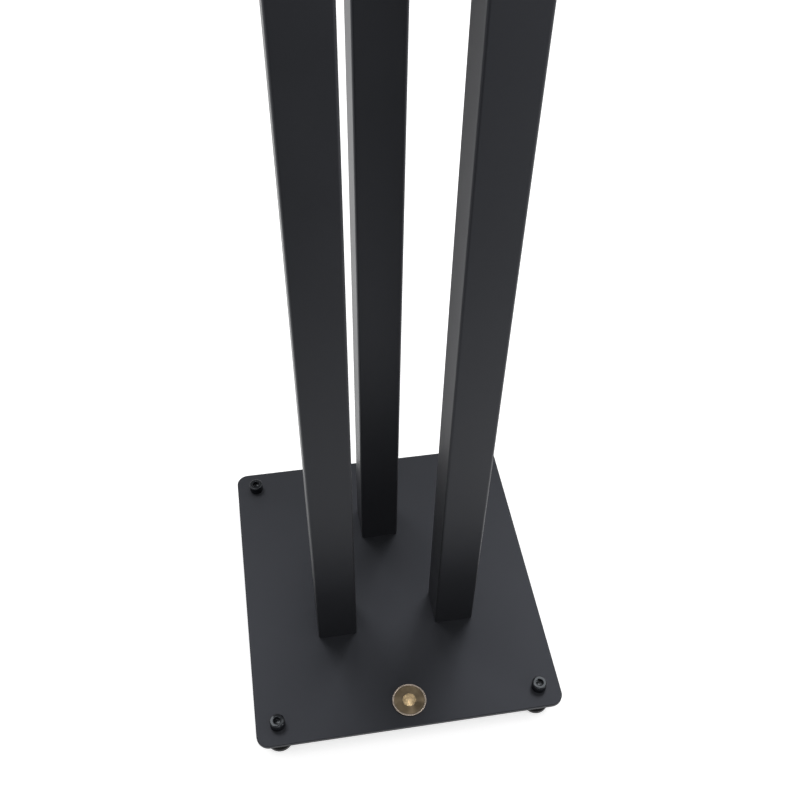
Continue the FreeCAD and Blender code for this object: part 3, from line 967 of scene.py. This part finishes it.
@dataclass
class Foot:
    """A swivelling foot: its moulded cup, and the rubber sole pressed into it.

    Attributes:
        corner: the corner it stands in.
        sole: radius of the sole.
        sole_tall: thickness of the sole.
        sole_round: rounding of the sole's lower edge.
        groove_in: inner radius of the grip groove.
        groove_out: outer radius of the grip groove.
        groove_deep: depth of the grip groove.
        groove_round: rounding of the groove's edges.
        steps: steps in a full turn.
    """

    corner: Corner
    sole: float = 10 * MM
    sole_tall: float = 3 * MM
    sole_round: float = 0.5 * MM
    groove_in: float = 5.9 * MM
    groove_out: float = 7.1 * MM
    groove_deep: float = 0.6 * MM
    groove_round: float = 0.2 * MM
    steps: int = 72

    def build(self) -> None:
        """Dresses the cup and builds the sole."""
        dress(f"{self.corner.value}_foot_cup", PLASTIC)
        node = f"{self.corner.value}_foot_sole"
        sole = Turning(axis_of(node), self.steps)
        sole.turn([
            (0.0, 0.0),
            (self.groove_in, 0.0),
            (self.groove_in, self.groove_deep),
            (self.groove_out, self.groove_deep),
            (self.groove_out, 0.0),
            (self.sole, 0.0),
            (self.sole, self.sole_tall),
            (0.0, self.sole_tall),
        ])
        sole.round_ring(self.sole, 0.0, self.sole_round)
        for radius in (self.groove_in, self.groove_out):
            sole.round_ring(radius, 0.0, self.groove_round, segments=2)
        sole.piece(f"{self.corner.value}_rubber_sole", RUBBER, f"{self.corner.value}_foot", node)


@dataclass
class SpeakerPad:
    """A rubber pad on the top plate.

    Attributes:
        corner: the corner it lies in.
        radius: radius of the pad.
        tall: thickness of the pad.
        edge: rounding of its upper edge.
        dimple: radius of the shallow dimple in its middle.
        dimple_deep: depth of the dimple.
        dimple_slope: width of the slope round the dimple.
        steps: steps in a full turn.
    """

    corner: Corner
    radius: float = 10 * MM
    tall: float = 2 * MM
    edge: float = 0.6 * MM
    dimple: float = 6.5 * MM
    dimple_deep: float = 0.15 * MM
    dimple_slope: float = 0.5 * MM
    steps: int = 72

    def build(self) -> None:
        """Builds the pad."""
        node = f"{self.corner.value}_speaker_pad"
        pad = Turning(axis_of(node), self.steps)
        pad.turn([
            (0.0, 0.0),
            (self.radius, 0.0),
            (self.radius, self.tall),
            (self.dimple, self.tall),
            (self.dimple - self.dimple_slope, self.tall - self.dimple_deep),
            (0.0, self.tall - self.dimple_deep),
        ])
        pad.round_ring(self.radius, self.tall, self.edge, segments=4)
        pad.piece(f"{self.corner.value}_rubber_pad", RUBBER, "stand_frame", node)


@dataclass
class Badge:
    """The plain round badge: a sunk face turned in fine rings, with a polished rim and boss.

    Attributes:
        radius: radius of the badge.
        tall: thickness of the badge.
        edge: rounding of its outer edge.
        rim: width of the rim.
        rim_edge: rounding of the rim's inner edge.
        sink: how far the face lies below the rim.
        lean: how far the walls of the rim and of the boss lean.
        boss: radius of the boss in the middle.
        boss_tall: height of the boss over the face.
        boss_crown: how far the boss falls from its middle to its edge.
        crown_rings: how many rings its crown has.
        steps: steps in a full turn.
    """

    radius: float = 15 * MM
    tall: float = 1.5 * MM
    edge: float = 0.4 * MM
    rim: float = 1.3 * MM
    rim_edge: float = 0.25 * MM
    sink: float = 0.35 * MM
    lean: float = 0.1 * MM
    boss: float = 6 * MM
    boss_tall: float = 0.25 * MM
    boss_crown: float = 0.15 * MM
    crown_rings: int = 8
    steps: int = 128

    def build(self) -> None:
        """Builds the badge and dresses the tape under it."""
        dress("badge_adhesive", TAPE)
        axis = axis_of("badge_disc")
        brass = TurnedBrass(
            "turned_brass", Slot.BADGE_BRASS, colour=(0.20, 0.155, 0.10), roughness=0.34,
            axis_x=axis.x, axis_y=axis.y,
        )
        inner = self.radius - self.rim
        face = self.tall - self.sink
        badge = Turning(axis, self.steps)
        badge.turn([
            (0.0, 0.0),
            (self.radius, 0.0),
            (self.radius, self.tall),
            (inner, self.tall),
            (inner - self.lean, face),
            (self.boss, face),
            *self.crown(face),
        ])
        badge.round_ring(self.radius, self.tall, self.edge, segments=4)
        badge.round_ring(inner, self.tall, self.rim_edge)
        badge.piece("plain_badge", brass, "stand_frame", "badge_disc")

    def crown(self, face: float) -> Profile:
        """The boss's crowned top, from its edge to its middle.

        Args:
            face: height of the face round the boss.

        Returns:
            Distances from the axis and heights.
        """
        edge = self.boss - self.lean
        top = face + self.boss_tall
        shares = [1.0 - i / self.crown_rings for i in range(self.crown_rings + 1)]
        return [(edge * share, top - self.boss_crown * share ** 2) for share in shares]


@dataclass
class SteelFrame:
    """The painted frame: two plates, three pillars, the weld nuts, and the screws and blocks inside.

    Attributes:
        ends: the two ends of a pillar.
        screws_per_end: how many screws hold each end.
    """

    ends: tuple[str, str] = ("lower", "upper")
    screws_per_end: int = 2

    def build(self) -> None:
        """Dresses every part of the frame."""
        for node in ("base_plate", "top_plate"):
            dress(node, COAT)
        for corner in Corner:
            dress(f"{corner.value}_weld_nut", COAT)
        for pillar in Pillar:
            dress(f"{pillar.value}_pillar", COAT)
            for end in self.ends:
                dress(f"{pillar.value}_{end}_block", STEEL)
                for number in range(1, self.screws_per_end + 1):
                    dress(f"{pillar.value}_{end}_screw_{number}", OXIDE)


# Studio


@dataclass
class Softbox:
    """A rectangular studio lamp.

    Attributes:
        name: what it is called.
        place: where it hangs.
        aim: the point it faces.
        width: its width.
        height: its height.
        power: its power in watts.
    """

    name: str
    place: Point
    aim: Point
    width: float
    height: float
    power: float

    def hang(self) -> None:
        """Hangs the lamp."""
        data = bpy.data.lights.new(self.name, "AREA")
        data.shape = "RECTANGLE"
        data.size = self.width
        data.size_y = self.height
        data.energy = self.power
        lamp = bpy.data.objects.new(self.name, data)
        lamp.location = self.place
        towards = Vector(self.aim) - Vector(self.place)
        lamp.rotation_euler = towards.to_track_quat("-Z", "Y").to_euler()
        lamp.visible_camera = False
        bpy.context.scene.collection.objects.link(lamp)


@dataclass
class Camera:
    """The camera, at the place that the photograph was taken from.

    Attributes:
        place: where it stands.
        yaw: how far it turns to the right, in degrees.
        pitch: how far it looks down, in degrees.
        roll: how far it tilts, in degrees.
        lens: focal length in millimetres.
        sensor: width of the sensor in millimetres.
        shift: how far the picture is moved up, as a share of its width.
        nearest: how near it can see.
        farthest: how far it can see.
    """

    place: Point = (-0.0848, -0.5089, 0.8617)
    yaw: float = -10.37
    pitch: float = 49.62
    roll: float = -1.44
    lens: float = 45.41
    sensor: float = 36.0
    shift: float = 0.0375
    nearest: float = 0.01
    farthest: float = 50.0

    def set_up(self) -> None:
        """Sets the camera up and makes it the scene's own."""
        yaw, pitch, roll = (math.radians(a) for a in (self.yaw, self.pitch, self.roll))
        level = math.cos(pitch)
        ahead = Vector((-math.sin(yaw) * level, math.cos(yaw) * level, -math.sin(pitch)))
        right = Vector((math.cos(yaw), math.sin(yaw), 0.0))
        down = ahead.cross(right)
        across = right * math.cos(roll) + down * math.sin(roll)
        below = down * math.cos(roll) - right * math.sin(roll)
        data = bpy.data.cameras.new("camera")
        data.sensor_width = self.sensor
        data.lens = self.lens
        data.shift_y = self.shift
        data.clip_start = self.nearest
        data.clip_end = self.farthest
        camera = bpy.data.objects.new("camera", data)
        turn = Matrix((across, -below, -ahead)).transposed().to_4x4()
        camera.matrix_world = Matrix.Translation(self.place) @ turn
        bpy.context.scene.collection.objects.link(camera)
        bpy.context.scene.camera = camera


@dataclass
class Studio:
    """The pale floor, the soft light and the camera.

    Attributes:
        floor_size: half the floor's width.
        floor_drop: how far it lies under the stand's feet.
        floor_cells: how many cells it has along each side.
        floor_colour: the floor's own colour.
        floor_dark: how dark its darkest patches are, as a share of that colour.
        floor_patch: width of one patch.
        floor_glow: what the floor adds for the camera, so that it shows white.
        mirror_glow: what it adds where the stand mirrors it, outside the dark zone: painted light that
            only reflections see.
        mirror_shade: how much of its colour the stand mirrors in the middle of that zone.
        shade_middle: the middle of the dark zone, a painted shade on the floor that only reflections
            see, in front where a camera's stand would be.
        shade_core: how far from its middle the zone is at its darkest.
        shade_reach: how far from its middle it ends.
        sky_low: the world's brightness at the horizon.
        sky_high: the world's brightness overhead.
        sky_fades: from which rise of a ray to which the first turns into the second.
        lamps: the softboxes.
        camera: the camera.
    """

    floor_size: float = 8.0
    floor_drop: float = 0.1 * MM
    floor_cells: int = 8
    floor_colour: Colour = (0.8, 0.8, 0.8)
    floor_dark: float = 0.98
    floor_patch: float = 0.35
    floor_glow: float = 0.6
    mirror_glow: float = 0.6
    mirror_shade: float = 0.03
    shade_middle: Point = (-0.4, -1.1, 0.0)
    shade_core: float = 0.2
    shade_reach: float = 1.45
    sky_low: float = 0.76
    sky_high: float = 0.45
    sky_fades: Span = (0.1, 0.8)
    lamps: list[Softbox] = field(default_factory=lambda: [
        Softbox("left_softbox", (-1.3, -0.7, 1.2), (0.0, 0.0, 0.2), 0.25, 0.4, 0.9),
        Softbox("right_softbox", (1.3, -0.7, 1.2), (0.0, 0.0, 0.2), 0.3, 0.5, 4.7),
        Softbox("top_softbox", (0.0, -0.5, 2.0), (0.0, 0.0, 0.03), 0.5, 0.5, 4.5),
        Softbox("back_softbox", (0.12, 0.5, 2.0), (0.0, -0.1, 0.03), 0.5, 0.5, 1.4),
        Softbox("back_left_softbox", (-0.55, 0.75, 1.6), (-0.1, 0.0, 0.03), 0.5, 0.9, 5.9),
        Softbox("back_right_softbox", (0.65, 0.75, 1.6), (0.1, 0.0, 0.03), 0.5, 0.9, 5.3),
    ])
    camera: Camera = field(default_factory=Camera)

    def build(self) -> None:
        """Builds the studio round the stand."""
        self.lay_floor()
        self.light_world()
        for lamp in self.lamps:
            lamp.hang()
        self.camera.set_up()
        bpy.context.scene.view_settings.view_transform = "Standard"

    def lay_floor(self) -> None:
        """Lays the floor, which shows white with the stand's soft shadow, and paints a dark zone in
        front that only reflections see.
        """
        mesh = bmesh.new()
        bmesh.ops.create_grid(
            mesh, x_segments=self.floor_cells, y_segments=self.floor_cells, size=self.floor_size,
            matrix=Matrix.Translation((0.0, 0.0, -self.floor_drop)),
        )
        data = bpy.data.meshes.new("floor")
        mesh.to_mesh(data)
        mesh.free()
        made = bpy.data.materials.new("pale_floor")
        made.use_nodes = True
        graph = Graph(made.node_tree)
        patch = graph.noise(self.floor_patch)
        dark = tuple(c * self.floor_dark for c in self.floor_colour)
        colour = graph.blend(patch, dark, self.floor_colour)
        camera, mirrored = self.rays(graph)
        # Painted shade: for reflections only, the floor is darkened in a zone in front of the stand and
        # glows outside it.
        lit = graph.off_axis(Vector(self.shade_middle)).between(self.shade_core, self.shade_reach)
        shade = mirrored * (1.0 - lit) * (1.0 - self.mirror_shade)
        shaded = graph.blend(shade, colour, BLACK)
        matt = graph.node("ShaderNodeBsdfDiffuse", {}, {"Color": shaded})
        strength = camera * self.floor_glow + mirrored * lit * self.mirror_glow
        glow = graph.node("ShaderNodeEmission", {}, {"Color": WHITE, "Strength": strength})
        both = graph.node("ShaderNodeAddShader", {}, {0: matt, 1: glow})
        graph.node("ShaderNodeOutputMaterial", {}, {"Surface": both})
        data.materials.append(made)
        floor = bpy.data.objects.new("floor", data)
        bpy.context.scene.collection.objects.link(floor)

    @staticmethod
    def rays(graph: Graph) -> tuple[Signal, Signal]:
        """Tells apart the rays that meet the floor.

        Args:
            graph: the floor's node tree.

        Returns:
            1 for the camera's own rays, and 1 for those by reflection or through glass.
        """
        camera = graph.node("ShaderNodeLightPath", {}, {}, "Is Camera Ray")
        glossy = graph.node("ShaderNodeLightPath", {}, {}, "Is Glossy Ray")
        through = graph.node("ShaderNodeLightPath", {}, {}, "Is Transmission Ray")
        return camera, glossy + through

    def light_world(self) -> None:
        """Lights the world: pale at the horizon, softer overhead, and white for the camera."""
        world = bpy.data.worlds.new("studio")
        bpy.context.scene.world = world
        world.use_nodes = True
        graph = Graph(world.node_tree)
        ray = graph.node("ShaderNodeTexCoord", {}, {}, "Generated")
        height = graph.node("ShaderNodeSeparateXYZ", {}, {0: ray}, "Z")
        light = self.sky_low + height.between(*self.sky_fades) * (self.sky_high - self.sky_low)
        camera = graph.node("ShaderNodeLightPath", {}, {}, "Is Camera Ray")
        strength = light + camera * (1.0 - light)
        sky = graph.node("ShaderNodeBackground", {}, {"Color": WHITE, "Strength": strength})
        graph.node("ShaderNodeOutputWorld", {}, {"Surface": sky})


def main() -> None:
    """Builds the stand's looks and the studio round it."""
    logging.basicConfig(level=logging.INFO, format="%(name)s: %(message)s")
    assemblies = [SteelFrame(), Badge()]
    for corner in Corner:
        assemblies += [LevellingScrew(corner), Foot(corner), SpeakerPad(corner)]
    for assembly in assemblies:
        assembly.build()
    Studio().build()


if __name__ == "__main__":
    main()
